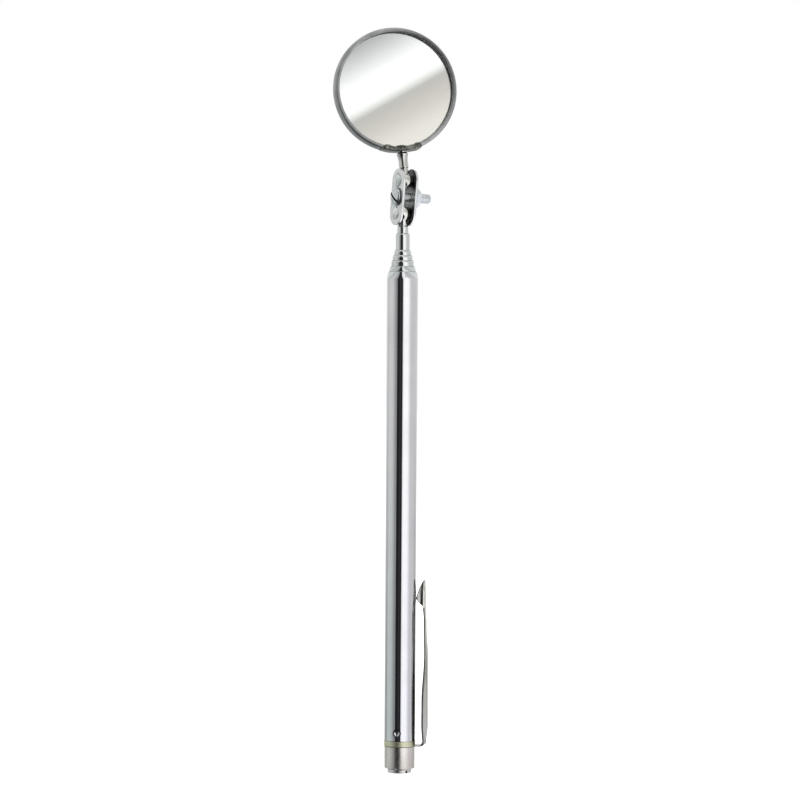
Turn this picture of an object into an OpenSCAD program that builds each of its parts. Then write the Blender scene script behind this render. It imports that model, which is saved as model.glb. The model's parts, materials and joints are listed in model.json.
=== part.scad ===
// Telescoping inspection mirror: a round mirror on a double ball joint, at the top of five
// nested tubes and a rod that slide out of a pocket barrel.
// The origin is the centre of the end screw's flat face. +Z runs up the barrel's axis.

/* [Barrel and end] */
// Outer diameter of the barrel
barrel_d = 8.0; // [7.9:0.05:8.4]
// Wall thickness of the barrel
barrel_wall = 0.3; // [0.26:0.01:0.34]
// Height of the barrel's swaged tip above the origin
barrel_top = 128.45; // [100:0.05:150]
// Diameter of the end cap
cap_d = 7.85; // [7.6:0.05:8.0]
// Length of the end cap
cap_h = 5.9; // [4:0.1:9]
// Diameter of the end screw's head
end_screw_d = 6.15; // [5.6:0.05:6.2]
// Thickness of the end screw's head
end_screw_h = 0.9; // [0.8:0.05:1.2]
// Height of the plug's flange, which shows as a band above the cap
flange_h = 1.5; // [1.2:0.05:2.0]
// Depth of the plug inside the barrel
plug_h = 5.5; // [4.5:0.1:8]
// Diameter of the punched dimple that holds the plug
dimple_d = 2.2; // [1.4:0.1:2.4]

/* [Telescope] */
// Outer diameters of the five tubes, the widest first
tube_d = [6.8, 5.76, 5.14, 4.36, 3.6]; // [3.58:0.02:6.82]
// How far the tip of each tube stands above the tip around it
tip_step = [1.35, 1.45, 1.35, 1.3, 4.3]; // [1.3:0.05:6]
// Length of the swaged nose of the barrel and of each tube
nose_len = [1.9, 1.3, 0.5, 0.6, 0.6, 0.5]; // [0.5:0.05:1.9]
// Wall thickness of the tubes
tube_wall = 0.18; // [0.16:0.01:0.18]
// Diameter of the rod
rod_d = 2.84; // [2.8:0.02:2.86]
// Length of the split friction sleeves
sleeve_len = 8; // [5:0.5:12]
// Radial gap of the sliding fits
fit = 0.03; // [0.02:0.005:0.04]

/* [Pocket clip] */
// Thickness of the clip's spring sheet
sheet = 0.3; // [0.25:0.01:0.35]
// Width of the foot that leaves the band
foot_w = 3.4; // [2.6:0.1:3.6]
// Height of the clip's tip
clip_top = 49.4; // [47:0.1:52]
// Height at which the clip's keel meets the barrel
keel_z = 45.1; // [44.6:0.1:45.4]

/* [Ball joint] */
// Diameter of both balls
ball_d = 4.0; // [3.9:0.05:4.1]
// Height of the lower ball's centre
lower_ball_z = 143.2; // [142.8:0.1:160]
// Distance between the two balls
ball_pitch = 8.3; // [8.1:0.05:9]
// Width of the clamp plates
plate_w = 6.2; // [5.8:0.1:6.4]
// Thickness of the clamp plates
plate_t = 0.65; // [0.5:0.05:0.8]
// Gap between the clamp plates
plate_gap = 3.0; // [2.9:0.05:3.2]
// Diameter of the clamp screw
screw_d = 2.4; // [2.2:0.1:2.5]
// How far the screw's end stands from the middle of the clamp
screw_reach = 7.4; // [5.5:0.1:9]
// Diameter of the clamp screw's head
head_d = 4.7; // [4.2:0.1:4.8]
// Height of the clamp screw's head
head_h = 1.25; // [1.1:0.05:1.5]
// Distance across the flats of the nut
nut_flats = 4.5; // [4.2:0.1:5]
// Thickness of the nut
nut_h = 1.35; // [1.1:0.05:1.6]
// Thickness of the lock washer
washer_t = 0.35; // [0.25:0.05:0.4]

/* [Pose] */
// Sideways lean of the clamp on the lower ball
clamp_lean = 4; // [0:0.5:5]
// Turn of the clamp about the rod
clamp_yaw = 28; // [0:1:90]
// Lean of the mirror's stem to the left
stem_left = 6.8; // [3:0.1:7.5]
// Lean of the mirror's stem towards the back
stem_back = 5.4; // [3:0.1:6]
// Turn of the mirror about its stem
mirror_turn = 12.4; // [0:0.1:30]

/* [Mirror head] */
// Outer diameter of the mirror's frame
frame_d = 31.8; // [28:0.1:36]
// Depth of the frame
frame_depth = 3.5; // [3.4:0.05:4]
// Width of the frame's front lip
lip_w = 1.4; // [1.2:0.05:1.6]
// Distance from the upper ball to the centre of the mirror
head_reach = 23.5; // [22:0.1:28]
// Thickness of the mirror's glass
glass_t = 1.8; // [1.6:0.1:1.8]
// Width of the crimped saddle on the rim, as an angle at the mirror's centre
saddle_angle = 40; // [30:1:50]

/* [Hidden] */

fine = 96;
seat = 0.02;               // gap between seated pieces of one assembly
edge = 0.12;               // broken edge of stamped and turned pieces

// Levels of the end, from the origin up
barrel_r = barrel_d / 2;
cap_z = end_screw_h;
flange_z = cap_z + cap_h;
barrel_z = flange_z + flange_h;
plug_top = barrel_z + plug_h;
tube_z = plug_top + 0.6;
shank_r = 1.25;
cap_chamfer_w = 0.8;
cap_chamfer_h = 0.55;
clip_ring_r = 3.3;
dimple_z = barrel_z + 1.9;
dimple_turn = -8;          // the dimple sits a little left of the front
dimple_depth = 0.28;

// Radii, bores and tips of the barrel, the tubes and the rod, the barrel first
stage_r = concat([barrel_r], [for (d = tube_d) d / 2], [rod_d / 2]);
stage_wall = concat([barrel_wall], [for (d = tube_d) tube_wall]);
bore_r = [for (i = [0:5]) stage_r[i] - stage_wall[i]];
function tip_z(i) = i == 0 ? barrel_top : tip_z(i - 1) + tip_step[i - 1];
tip_edge = 0.07;           // thickness of a swaged tip's rim
tip_land = 0.3;            // length of a tip's bore that guides the next tube
nose_steps = 6;
lip_h = 0.5;               // rolled lip that holds each sleeve
sleeve_z = tube_z + lip_h;
slit = 0.45;
notch_turn = 36;           // the front notch of the end screw sits right of the front
notch_w = 0.55;
notch_depth = 0.9;
notch_h = 0.55;

// Rod
rod_r = rod_d / 2;
groove_r = rod_r - 0.2;
rod_neck_r = 1.2;
stem_neck_r = 1.05;
pin_r = 0.6;
ball_r = ball_d / 2;
ball_flat = 1.6;           // height at which each ball is cut flat for its neck
neck_clear = 3.15;         // each neck stays thin this far from its ball, past the plates
neck_cone_h = 0.2;

// Clamp
half_gap = plate_gap / 2;
plate_out = half_gap + plate_t;
cup_r = ball_r + fit;
head_side_h = 0.35;
slot_w = 0.6;
slot_depth = 0.65;
slot_turn = 35.6;
washer_teeth = 10;
upper_ball = [ball_pitch * sin(clamp_lean), 0, lower_ball_z + ball_pitch * cos(clamp_lean)];

// Mirror head, measured from the middle of the frame's depth
frame_r = frame_d / 2;
half_depth = frame_depth / 2;
lip_t = 0.45;
frame_wall = 0.5;
glass_r = frame_r - frame_wall - 0.1;
glass_front = -half_depth + lip_t + seat;
silver_t = 0.12;
saddle_t = 0.33;
saddle_r = frame_r + 0.8;
stem_r = 1.2;
stem_top_r = 1.5;
tang_r = 1.0;              // part of the stem inside the saddle's hole
tang_z = head_reach - saddle_r;
upset_z = tang_z + 0.35;   // underside of the stem's upset end
upset_r = 1.5;

// ---- Shared shapes ----

// Outer curve of a swaged nose that narrows from radius r to tip_r
function nose(r, tip_r, top_z, length) = [
    for (i = [0:nose_steps])
        let (t = i / nose_steps)
        [tip_r + (r - tip_r) * cos(90 * t), top_z - length * (1 - t)]
];

// Height at which the bore of stage i starts to narrow, where the next sleeve stops
function stop_z(i) = tip_z(i) - 0.75 * nose_len[i];

module swaged_tube(i, bottom_z, lip_r) {
    inner_r = stage_r[i + 1] + fit;
    rotate_extrude($fn = fine)
        polygon(concat(
            [[bore_r[i], bottom_z], [lip_r, bottom_z], [lip_r, bottom_z + lip_h], [stage_r[i], bottom_z + lip_h]],
            nose(stage_r[i], inner_r + tip_edge, tip_z(i), nose_len[i]),
            [[inner_r, tip_z(i)], [inner_r, tip_z(i) - tip_land], [bore_r[i], stop_z(i)]]
        ));
}

// Straight-sided ring or disc with broken outer edges
module turned_ring(inner_r, outer_r, height, broken = edge) {
    rotate_extrude($fn = fine)
        polygon([
            [inner_r, 0], [outer_r - broken, 0], [outer_r, broken],
            [outer_r, height - broken], [outer_r - broken, height], [inner_r, height]
        ]);
}

module punch(grow) {
    rotate([0, 0, dimple_turn])
        translate([0, -barrel_r - dimple_d / 2 + dimple_depth + 0.1, dimple_z])
            sphere(r = dimple_d / 2 + grow, $fn = fine);
}

module friction_sleeve(i, inner_r, bottom_z) {
    color("peru")
    difference() {
        translate([0, 0, bottom_z])
            turned_ring(inner_r, bore_r[i - 1] - fit, sleeve_len, 0.05);
        rotate([0, 0, 60 * i])
            translate([0, -slit / 2, bottom_z - 1])
                cube([barrel_r, slit, sleeve_len + 2]);
    }
}

// ---- Barrel and its end ----

module barrel() {
    color("gainsboro")
    difference() {
        union() {
            swaged_tube(0, barrel_z, barrel_r);
            // metal pushed inwards by the punch
            intersection() {
                punch(0.25);
                translate([0, 0, barrel_z])
                    cylinder(r = bore_r[0] + 0.1, h = plug_h, $fn = fine);
            }
        }
        punch(0);
    }
}

module end_plug() {
    recess = sheet + 2 * seat;
    color("darkkhaki")
    difference() {
        union() {
            translate([0, 0, flange_z])
                turned_ring(shank_r, barrel_r, flange_h);
            translate([0, 0, barrel_z - edge])
                turned_ring(shank_r, bore_r[0] - 0.01, plug_h + edge);
        }
        // seat of the clip's ring, and the notch that its foot leaves by
        translate([0, 0, flange_z - 1])
            cylinder(r = clip_ring_r + seat, h = 1 + recess, $fn = fine);
        translate([0, -foot_w / 2 - seat, flange_z - 1])
            cube([barrel_r + 1, foot_w + 2 * seat, 1 + recess]);
        punch(0.25 + seat);
    }
}

module end_cap() {
    cap_r = cap_d / 2;
    color("rosybrown")
    difference() {
        rotate_extrude($fn = fine)
            polygon([
                [shank_r + seat, cap_z], [cap_r - cap_chamfer_w, cap_z],
                [cap_r, cap_z + cap_chamfer_h], [cap_r, flange_z - edge],
                [cap_r - edge, flange_z], [shank_r + seat, flange_z]
            ]);
        // stake mark on the chamfer
        rotate([0, 0, -13])
            translate([0, -cap_r + 0.2, cap_z + 0.2])
                sphere(r = 0.35, $fn = 32);
    }
}

module end_screw() {
    r = end_screw_d / 2;
    color("darkgray")
    difference() {
        rotate_extrude($fn = fine)
            polygon([
                [0, 0], [r - 0.2, 0], [r, 0.25], [r, cap_z],
                [shank_r, cap_z], [shank_r, plug_top - 0.5], [shank_r - 0.3, plug_top - 0.2],
                [0, plug_top - 0.2]
            ]);
        // two notches in the rim for a fork driver
        for (turn = [notch_turn, notch_turn + 180])
            rotate([0, 0, turn])
                translate([-notch_w / 2, -r - 1, -1])
                    cube([notch_w, 1 + notch_depth, 1 + notch_h]);
    }
}

// ---- Pocket clip ----

// Rows of height, x of the sheet's side edges, half width, and crown of the blade
blade_rows = [
    [flange_z + 0.92, 5.95, 1.70, 0.50],
    [12, 5.90, 2.20, 0.95],
    [18, 5.92, 2.50, 1.15],
    [30, 6.33, 2.50, 0.70],
    [38, 6.20, 2.40, 0.45],
    [43.5, 5.90, 2.10, 0.45],
    [46.5, 5.86, 1.90, 0.50],
    [clip_top - 0.8, 5.95, 1.35, 0.35],
    [clip_top, 6.00, 0.55, 0.10]
];
function ease(t) = t * t * (3 - 2 * t);
function blade_at(z) =
    let (i = max([for (k = [0:len(blade_rows) - 2]) if (blade_rows[k][0] <= z) k]))
    let (a = blade_rows[i], b = blade_rows[i + 1], t = ease((z - a[0]) / (b[0] - a[0])))
    a + (b - a) * t;

bend_r = 0.75;
foot_x = 4.3;
foot_z = flange_z + seat + sheet / 2;
blade_z = foot_z + bend_r;
blade_steps = 30;
// Stations of the sheet's middle: x, z, half width, crown
clip_stations = concat(
    [[foot_x, foot_z, foot_w / 2, 0]],
    [for (a = [-90:15:-15])
        [5.95 - bend_r + bend_r * cos(a), blade_z + bend_r * sin(a), foot_w / 2, 0.5 * (a + 90) / 90]],
    [for (k = [0:blade_steps])
        let (z = max(blade_z, blade_rows[0][0]) + (clip_top - blade_rows[0][0]) * sin(90 * k / blade_steps))
        let (b = blade_at(min(z, clip_top)))
        [b[1], min(z, clip_top), b[2], b[3]]]
);
across_steps = 8;

// One station's closed loop of points: the outer face, then the inner face back again
function station_loop(i) =
    let (s = clip_stations[i], a = clip_stations[max(i - 1, 0)],
         b = clip_stations[min(i + 1, len(clip_stations) - 1)])
    let (d = [b[0] - a[0], b[1] - a[1]], n = [d[1], -d[0]] / norm(d))
    concat(
        [for (k = [0:across_steps])
            let (u = 2 * k / across_steps - 1, h = s[3] * (1 - u * u) + sheet / 2)
            [s[0] + n[0] * h, s[2] * u, s[1] + n[1] * h]],
        [for (k = [across_steps:-1:0])
            let (u = 2 * k / across_steps - 1, h = s[3] * (1 - u * u) - sheet / 2)
            [s[0] + n[0] * h, s[2] * u, s[1] + n[1] * h]]
    );

// Triangles that close the loop whose points start at the given number
function end_face(first, flip) = [
    for (k = [0:across_steps - 1])
        let (a = first + k, b = first + 2 * across_steps + 1 - k)
        each flip ? [[a, b - 1, a + 1], [a, b, b - 1]] : [[a, a + 1, b - 1], [a, b - 1, b]]
];

module clip_sheet() {
    loop_n = 2 * (across_steps + 1);
    last = len(clip_stations) - 1;
    polyhedron(
        points = [for (i = [0:last]) each station_loop(i)],
        faces = concat(
            end_face(0, false),
            [for (i = [0:last - 1], k = [0:loop_n - 1])
                let (k2 = (k + 1) % loop_n)
                each [[i * loop_n + k, (i + 1) * loop_n + k, (i + 1) * loop_n + k2],
                      [i * loop_n + k, (i + 1) * loop_n + k2, i * loop_n + k2]]],
            end_face(last * loop_n, true)
        )
    );
}

// The tip's side edges are folded inwards into a keel that bears on the barrel
module clip_keel() {
    contact_x = barrel_r + 0.04;
    ear_r = 5.9;
    intersection() {
        for (side = [-1, 1])
            translate([0, 0, keel_z - 2.4])
                linear_extrude(clip_top - keel_z + 2.4)
                    polygon([
                        [contact_x, side * 0.1], [contact_x, side * 0.4],
                        [ear_r, side * 1.95], [ear_r, side * 1.6]
                    ]);
        translate([0, 4, 0])
            rotate([90, 0, 0])
                linear_extrude(8)
                    polygon([
                        [contact_x, keel_z], [contact_x + 0.35, keel_z + 1.6],
                        [5.0, keel_z + 3.1], [5.75, clip_top - 0.25], [ear_r + 0.05, clip_top - 0.6],
                        [ear_r + 0.05, keel_z - 2.2], [contact_x + 0.6, keel_z - 1.1]
                    ]);
    }
}

module pocket_clip() {
    color("lightgray")
    union() {
        difference() {
            translate([0, 0, flange_z + seat]) {
                cylinder(r = clip_ring_r, h = sheet, $fn = fine);
                translate([0, -foot_w / 2, 0])
                    cube([foot_x, foot_w, sheet]);
            }
            translate([0, 0, flange_z - 1])
                cylinder(r = shank_r + seat, h = 3, $fn = fine);
        }
        clip_sheet();
        clip_keel();
    }
}

// ---- Telescope ----

module tube(i) {
    color("lightsteelblue")
        swaged_tube(i, tube_z, bore_r[i - 1] - 2 * fit);
}

module rod() {
    color("silver")
    rotate_extrude($fn = fine)
        polygon([
            [0, tube_z], [rod_r - edge, tube_z], [rod_r, tube_z + edge], [rod_r, sleeve_z],
            [groove_r, sleeve_z], [groove_r, sleeve_z + sleeve_len + 2 * seat],
            [rod_r, sleeve_z + sleeve_len + 2 * seat],
            [rod_r, lower_ball_z - neck_clear - neck_cone_h],
            [rod_neck_r, lower_ball_z - neck_clear], [rod_neck_r, lower_ball_z - ball_flat],
            [pin_r, lower_ball_z - ball_flat], [pin_r, lower_ball_z + 1.1], [0, lower_ball_z + 1.1]
        ]);
}

// ---- Ball joint ----

// Ball with a flat and a blind bore facing +Z
module drilled_ball() {
    color("whitesmoke")
    difference() {
        sphere(r = ball_r, $fn = fine);
        translate([-ball_r, -ball_r, ball_flat])
            cube([ball_d, ball_d, 1]);
        translate([0, 0, -1.2])
            cylinder(r = pin_r + seat, h = 4, $fn = fine);
    }
}

module rod_ball() {
    translate([0, 0, lower_ball_z])
        mirror([0, 0, 1])
            drilled_ball();
}

// The clamp's own frame: origin at the lower ball, x along the screw, z towards the upper ball
module clamp_place() {
    translate([0, 0, lower_ball_z])
        rotate([0, clamp_lean, 0])
            rotate([0, 0, clamp_yaw])
                children();
}

// A shape drawn flat, with its thickness along z, is stood up with its thickness along x
module stand_up() {
    rotate([90, 0, 90])
        children();
}

module stadium_plate(width, pitch, thickness) {
    r = width / 2;
    for (v = [0, pitch])
        translate([0, v, 0])
            turned_ring(0, r, thickness);
    translate([0, pitch, 0])
        rotate([90, 0, 0])
            linear_extrude(pitch)
                polygon([
                    [edge - r, 0], [r - edge, 0], [r, edge], [r, thickness - edge],
                    [r - edge, thickness], [edge - r, thickness], [-r, thickness - edge], [-r, edge]
                ]);
}

// Plate on the nut's side; the other one is its mirror image
module clamp_plate() {
    color("white")
    stand_up()
    difference() {
        union() {
            translate([0, 0, half_gap])
                stadium_plate(plate_w, ball_pitch, plate_t);
            for (v = [0, ball_pitch])
                translate([0, v, 0])
                    intersection() {
                        sphere(r = cup_r + plate_t, $fn = fine);
                        translate([0, 0, half_gap + edge])
                            cylinder(r = 2.2, h = 2, $fn = fine);
                    }
        }
        for (v = [0, ball_pitch])
            translate([0, v, 0])
                sphere(r = cup_r, $fn = fine);
        translate([0, ball_pitch / 2, 0])
            cylinder(r = screw_d / 2 + seat, h = 5, $fn = fine);
    }
}

module screw_place() {
    clamp_place()
        stand_up()
            translate([0, ball_pitch / 2, 0])
                children();
}

module clamp_screw() {
    r = screw_d / 2;
    head_r = head_d / 2;
    dome_h = head_h - head_side_h;
    color("lightgray")
    screw_place()
    difference() {
        rotate_extrude($fn = fine)
            polygon(concat(
                [for (a = [0:15:90])
                    [head_r * sin(a), -plate_out - head_side_h - dome_h * cos(a)]],
                [[head_r - edge, -plate_out], [r, -plate_out], [r, screw_reach - 0.3],
                 [r - 0.3, screw_reach], [0, screw_reach]]
            ));
        rotate([0, 0, slot_turn])
            translate([-head_d, -slot_w / 2, -plate_out - head_h - 1])
                cube([2 * head_d, slot_w, 1 + slot_depth]);
    }
}

module lock_washer() {
    color("gray")
    screw_place()
    translate([0, 0, plate_out + seat])
    difference() {
        union() {
            cylinder(r = 1.9, h = washer_t, $fn = fine);
            for (k = [0:washer_teeth - 1])
                rotate([0, 0, 360 * k / washer_teeth])
                    translate([1.5, -0.3, 0])
                        cube([1.0, 0.6, washer_t]);
        }
        translate([0, 0, -1])
            cylinder(r = screw_d / 2 + 2 * fit, h = 2, $fn = fine);
    }
}

module clamp_nut() {
    corner_r = nut_flats / 2 / cos(30);
    color("silver")
    screw_place()
    translate([0, 0, plate_out + washer_t + 2 * seat])
    difference() {
        intersection() {
            rotate([0, 0, 30])
                cylinder(r = corner_r, h = nut_h, $fn = 6);
            rotate_extrude($fn = fine)
                polygon([
                    [0, 0], [corner_r - 0.25, 0], [corner_r + 0.05, 0.2],
                    [corner_r + 0.05, nut_h - 0.2], [corner_r - 0.25, nut_h], [0, nut_h]
                ]);
        }
        translate([0, 0, -1])
            cylinder(r = screw_d / 2 + fit, h = nut_h + 2, $fn = fine);
    }
}

// ---- Mirror head ----

// The stem's frame: origin at the upper ball, z along the stem
module stem_place() {
    translate(upper_ball)
        rotate([-stem_back, -stem_left, 0])
            rotate([0, 0, mirror_turn])
                children();
}

// The disc's frame: origin at its centre, z towards its back, y towards the stem
module disc_place() {
    stem_place()
        translate([0, 0, head_reach])
            rotate([-90, 0, 0])
                children();
}

module mirror_ball() {
    stem_place()
        drilled_ball();
}

module mirror_stem() {
    color("silver")
    stem_place()
    rotate_extrude($fn = fine)
        polygon([
            [0, -1.1], [pin_r, -1.1], [pin_r, ball_flat + seat], [stem_neck_r, ball_flat + seat],
            [stem_neck_r, neck_clear], [stem_r, neck_clear + neck_cone_h], [stem_r, tang_z - 1.7],
            [stem_r + 0.08, tang_z - 1.0], [stem_top_r, tang_z - seat], [tang_r, tang_z - seat],
            [tang_r, upset_z], [upset_r, upset_z], [upset_r, upset_z + 0.35], [0, upset_z + 0.35]
        ]);
}

module mirror_frame() {
    round_r = 0.6;
    inner_r = frame_r - frame_wall;
    lip_r = frame_r - lip_w;
    dish_r = 11;
    dish_h = 0.2;
    color("darkgray")
    disc_place()
    rotate_extrude($fn = fine)
        polygon(concat(
            [[0, half_depth + dish_h], [dish_r, half_depth + dish_h], [dish_r + 0.8, half_depth]],
            [for (a = [90:-15:0])
                [frame_r - round_r + round_r * cos(a), half_depth - round_r + round_r * sin(a)]],
            [for (a = [0:-15:-90])
                [frame_r - round_r + round_r * cos(a), -half_depth + round_r + round_r * sin(a)]],
            [[lip_r + 0.2, -half_depth], [lip_r, -half_depth + 0.2], [lip_r, -half_depth + lip_t],
             [inner_r, -half_depth + lip_t], [inner_r, half_depth - lip_t],
             [dish_r + 0.6, half_depth - lip_t], [dish_r - 0.2, half_depth - lip_t + dish_h],
             [0, half_depth - lip_t + dish_h]]
        ));
}

module mirror_glass() {
    color("lightcyan")
    disc_place()
    translate([0, 0, glass_front])
        turned_ring(0, glass_r, glass_t);
}

module mirror_silvering() {
    color("white")
    disc_place()
    translate([0, 0, glass_front + glass_t])
        turned_ring(0, glass_r - 0.1, silver_t, 0.02);
}

module backing_pad() {
    pad_z = glass_front + glass_t + silver_t;
    color("dimgray")
    disc_place()
    translate([0, 0, pad_z])
        turned_ring(0, glass_r - 0.05, half_depth - lip_t - seat - pad_z);
}

module stem_saddle() {
    in_r = frame_r + seat;
    cheek_in = half_depth + seat;
    cheek_out = cheek_in + saddle_t;
    cheek_r = frame_r - lip_w - 0.15;
    color("gray")
    difference() {
        disc_place()
            rotate([0, 0, 90 - saddle_angle / 2])
                rotate_extrude(angle = saddle_angle, $fn = fine)
                    polygon([
                        [cheek_r, cheek_in], [in_r, cheek_in], [in_r, -cheek_in],
                        [cheek_r, -cheek_in], [cheek_r, -cheek_out + edge], [cheek_r + edge, -cheek_out],
                        [saddle_r - 0.3, -cheek_out], [saddle_r, -cheek_out + 0.3],
                        [saddle_r, cheek_out - 0.3], [saddle_r - 0.3, cheek_out],
                        [cheek_r + edge, cheek_out], [cheek_r, cheek_out - edge]
                    ]);
        // hole for the stem's tang and pocket for its upset end
        stem_place()
            translate([0, 0, tang_z - 1])
                cylinder(r = tang_r + seat, h = 3, $fn = fine);
        stem_place()
            translate([0, 0, upset_z - seat])
                cylinder(r = upset_r + seat, h = 1, $fn = fine);
    }
}

barrel();
end_plug();
end_cap();
end_screw();
pocket_clip();
tube(1);  // tube_1
tube(2);  // tube_2
tube(3);  // tube_3
tube(4);  // tube_4
tube(5);  // tube_5
rod();
friction_sleeve(1, stage_r[1], sleeve_z);  // sleeve_1
friction_sleeve(2, stage_r[2], sleeve_z);  // sleeve_2
friction_sleeve(3, stage_r[3], sleeve_z);  // sleeve_3
friction_sleeve(4, stage_r[4], sleeve_z);  // sleeve_4
friction_sleeve(5, stage_r[5], sleeve_z);  // sleeve_5
friction_sleeve(6, groove_r + fit, sleeve_z + seat);  // sleeve_6
rod_ball();
clamp_place() mirror([1, 0, 0]) clamp_plate();  // clamp_plate_left
clamp_place() clamp_plate();  // clamp_plate_right
clamp_screw();
lock_washer();
clamp_nut();
mirror_ball();
mirror_stem();
stem_saddle();
mirror_frame();
mirror_glass();
mirror_silvering();
backing_pad();
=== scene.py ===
import json
import math

import bmesh
import bpy
from mathutils import Matrix, Vector, noise


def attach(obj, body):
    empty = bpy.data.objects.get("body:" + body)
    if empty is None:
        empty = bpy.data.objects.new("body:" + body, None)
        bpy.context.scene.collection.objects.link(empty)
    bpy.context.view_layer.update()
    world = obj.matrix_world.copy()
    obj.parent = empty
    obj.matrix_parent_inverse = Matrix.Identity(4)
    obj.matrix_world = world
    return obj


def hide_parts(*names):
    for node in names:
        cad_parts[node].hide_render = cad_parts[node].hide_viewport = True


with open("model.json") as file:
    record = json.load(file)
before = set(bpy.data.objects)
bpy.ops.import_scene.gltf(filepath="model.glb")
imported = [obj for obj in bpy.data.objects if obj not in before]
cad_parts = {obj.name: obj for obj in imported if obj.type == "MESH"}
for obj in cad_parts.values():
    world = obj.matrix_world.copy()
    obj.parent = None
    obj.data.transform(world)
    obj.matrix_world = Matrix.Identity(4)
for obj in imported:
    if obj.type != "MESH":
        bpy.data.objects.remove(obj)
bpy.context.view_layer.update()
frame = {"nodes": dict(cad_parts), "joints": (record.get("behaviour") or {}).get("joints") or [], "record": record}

MM = 0.001
TAU = 2 * math.pi

# ---- The CAD's own sizes ----
BARREL_R, BARREL_WALL = 4.0, 0.3
BARREL_Z, BARREL_TOP = 8.3, 128.45
FLANGE_Z, CAP_Z = 6.8, 0.9
CAP_R, SCREW_END_R = 3.925, 3.075
PLUG_TOP, TUBE_Z = 13.8, 14.4
FIT = 0.03
STAGE_R = [BARREL_R, 3.4, 2.88, 2.57, 2.18, 1.8, 1.42]
STAGE_WALL = [BARREL_WALL] + 6 * [0.18]
TIP_STEP = [1.35, 1.45, 1.35, 1.3, 4.3]
NOSE = [1.9, 1.3, 0.5, 0.6, 0.6, 0.5]
TIP_Z = [BARREL_TOP + sum(TIP_STEP[:i]) for i in range(6)]
BALL_R, BALL_FLAT, PIN_R = 2.0, 1.6, 0.6
PITCH = 8.3
HALF_GAP, PLATE_T, PLATE_R = 1.5, 0.65, 3.1
SCREW_R, SCREW_REACH = 1.2, 7.4
FRAME_R, HALF_DEPTH, LIP_W, LIP_T = 15.9, 1.75, 1.4, 0.45
HEAD_REACH = 23.5
GLASS_T = 1.8
SHEET = 0.3

joints = {j["name"]: j for j in frame["joints"]}


def axes_matrix(x, y, z, origin_m):
    """Matrix of a frame with the given axes, at a point in metres."""
    m = Matrix((x, y, z)).transposed().to_4x4()
    m.translation = origin_m
    return m


# Clamp frame: origin at the lower ball, x along the screw, z towards the upper ball
lower_ball_m = Vector(joints["clamp_swing"]["pos_m"])
upper_ball_m = Vector(joints["mirror_swing"]["pos_m"])
clamp_z = (upper_ball_m - lower_ball_m).normalized()
clamp_x = Vector(joints["clamp_swing"]["axis"]).normalized()
clamp_y = clamp_z.cross(clamp_x).normalized()
CLAMP = axes_matrix(clamp_y.cross(clamp_z), clamp_y, clamp_z, lower_ball_m)
# Screw frame: z along the screw, towards the nut
SCREW = CLAMP @ Matrix.Translation((0, 0, PITCH / 2 * MM)) @ Matrix.Rotation(math.pi / 2, 4, "Y")
# Stem frame: origin at the upper ball, z along the stem, -y towards the front of the mirror
stem_z = Vector(joints["mirror_spin"]["axis"]).normalized()
glass_corners = [v.co.copy() for v in frame["nodes"]["mirror_silvering"].data.vertices]
glass_mid = sum(glass_corners, Vector()) / len(glass_corners)
flat = [(c - glass_mid).normalized() for c in glass_corners if (c - glass_mid).length > 14 * MM]
front = flat[0].cross(max(flat, key=lambda d: abs(d.cross(flat[0]).length))).normalized()
front = front if front.y < 0 else -front
front = (front - front.dot(stem_z) * stem_z).normalized()
STEM = axes_matrix(stem_z.cross(front).normalized(), -front, stem_z, upper_ball_m)
# Disc frame: origin at the middle of the frame, z towards its back, y towards the stem, x to the right
DISC = STEM @ Matrix.Translation((0, 0, HEAD_REACH * MM)) @ Matrix.Rotation(-math.pi / 2, 4, "X")
WORLD = Matrix.Identity(4)


# ---- Mesh helpers ----
def rounded(points, steps=5, support=True):
    """Closed loop of (radius, height, fillet) points with its corners rounded."""
    out = []
    for i, (x, y, *fillet) in enumerate(points):
        size = fillet[0] if fillet else 0
        here = Vector((x, y))
        before = Vector(points[i - 1][:2]) - here
        after = Vector(points[(i + 1) % len(points)][:2]) - here
        if size <= 0 or before.length < 1e-6 or after.length < 1e-6:
            out.append((x, y))
            continue
        a, b = before.normalized(), after.normalized()
        half = math.acos(max(-1, min(1, a.dot(b)))) / 2
        if half > 1.55 or half < 0.05:
            out.extend([(x, y)] * (1 if support else steps + 1))
            continue
        reach = min(size / math.tan(half), 0.48 * before.length, 0.48 * after.length)
        radius = reach * math.tan(half)
        centre = here + (a + b).normalized() * (radius / math.sin(half))
        start, end = here + a * reach - centre, here + b * reach - centre
        sweep = math.atan2(start.cross(end), start.dot(end))
        for k in range(steps + 1):
            turn = sweep * k / steps
            c, s = math.cos(turn), math.sin(turn)
            out.append((centre.x + start.x * c - start.y * s, centre.y + start.x * s + start.y * c))
    return supported(out) if support else out


def supported(loop, near=0.04, shortest=0.3):
    """The loop with points added close to both ends of its long runs, so that flats shade flat."""
    out = []
    for i, here in enumerate(loop):
        after = loop[(i + 1) % len(loop)]
        out.append(here)
        run = math.dist(here, after)
        if run > shortest:
            for t in (near / run, 1 - near / run):
                out.append((here[0] + (after[0] - here[0]) * t, here[1] + (after[1] - here[1]) * t))
    return out


def rings_mesh(rings, closed):
    """Verts and faces of a skin over rings of equal length; a ring of one point is a pole."""
    verts, index = [], []
    for ring in rings:
        index.append(range(len(verts), len(verts) + len(ring)))
        verts.extend(ring)
    faces = []
    pairs = list(zip(index, index[1:])) + ([(index[-1], index[0])] if closed else [])
    for a, b in pairs:
        n = max(len(a), len(b))
        if n == 1:
            continue
        for k in range(n):
            k2 = (k + 1) % n
            if len(a) == 1:
                faces.append((a[0], b[k2], b[k]))
            elif len(b) == 1:
                faces.append((a[k], a[k2], b[0]))
            else:
                faces.append((a[k], a[k2], b[k2], b[k]))
    return verts, faces


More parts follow.
